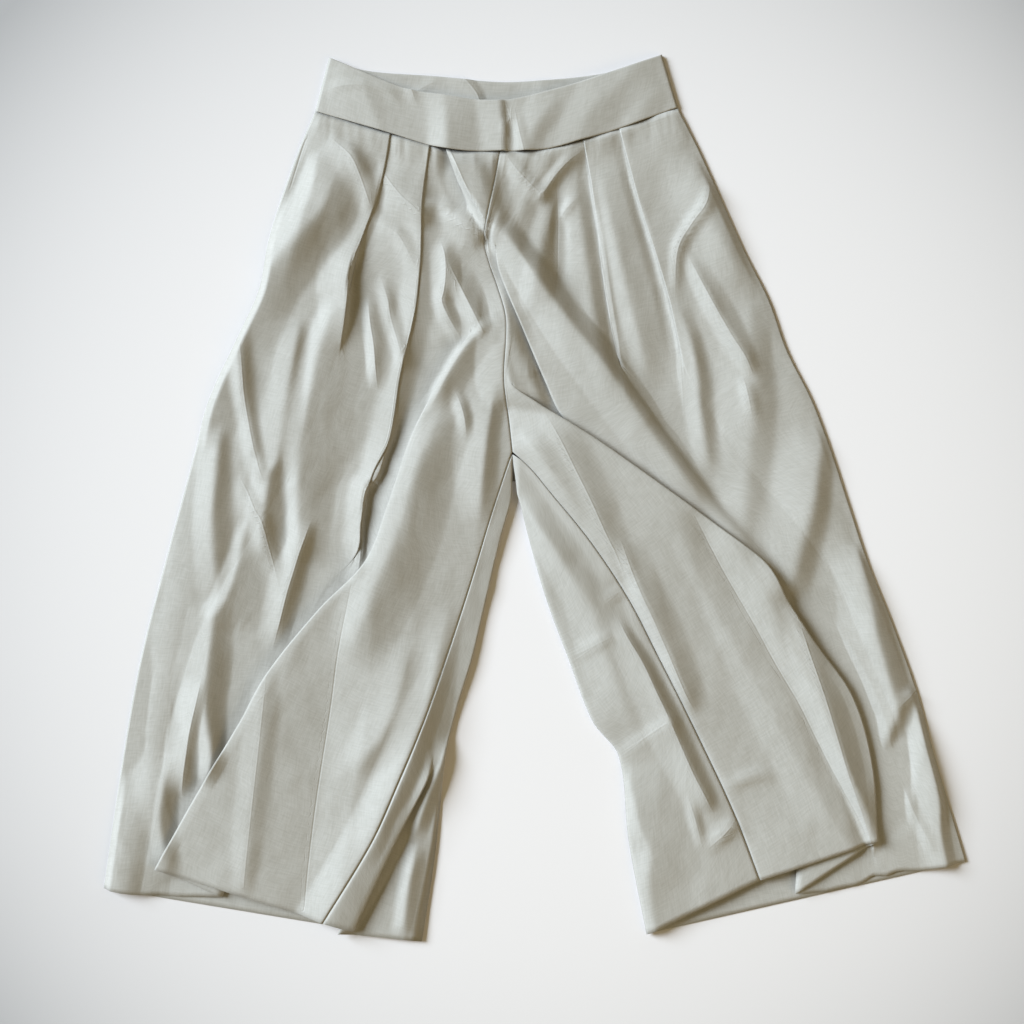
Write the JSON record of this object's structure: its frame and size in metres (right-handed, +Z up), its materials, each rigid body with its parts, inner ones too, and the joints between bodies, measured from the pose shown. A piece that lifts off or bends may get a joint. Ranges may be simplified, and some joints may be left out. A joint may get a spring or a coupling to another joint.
{
  "type": "culottes",
  "caption": "Wide pleated culottes with a flat waistband, laid flat on the back with the legs spread and the loose cloth folded.",
  "frame": {"origin": "middle of the garment's outline in plan, on the surface that it lies on", "axes": "+Z up from the surface, +Y towards the waist, +X to the viewer's right with the waist at the top"},
  "size_m": [0.8294, 0.8524, 0.0172],
  "materials": {
    "front_left_cloth": "crisp woven cotton, pale greige",
    "front_right_cloth": "crisp woven cotton, pale greige",
    "back_left_cloth": "crisp woven cotton, pale greige",
    "back_right_cloth": "crisp woven cotton, pale greige",
    "waistband_front_cloth": "crisp woven cotton, two layers, pale greige",
    "waistband_back_cloth": "crisp woven cotton, two layers, pale greige"
  },
  "bodies": {
    "root": {"front_left": "front_left_cloth", "front_right": "front_right_cloth", "back_left": "back_left_cloth", "back_right": "back_right_cloth", "waistband_front": "waistband_front_cloth", "waistband_back": "waistband_back_cloth"}
  },
  "joints": []
}
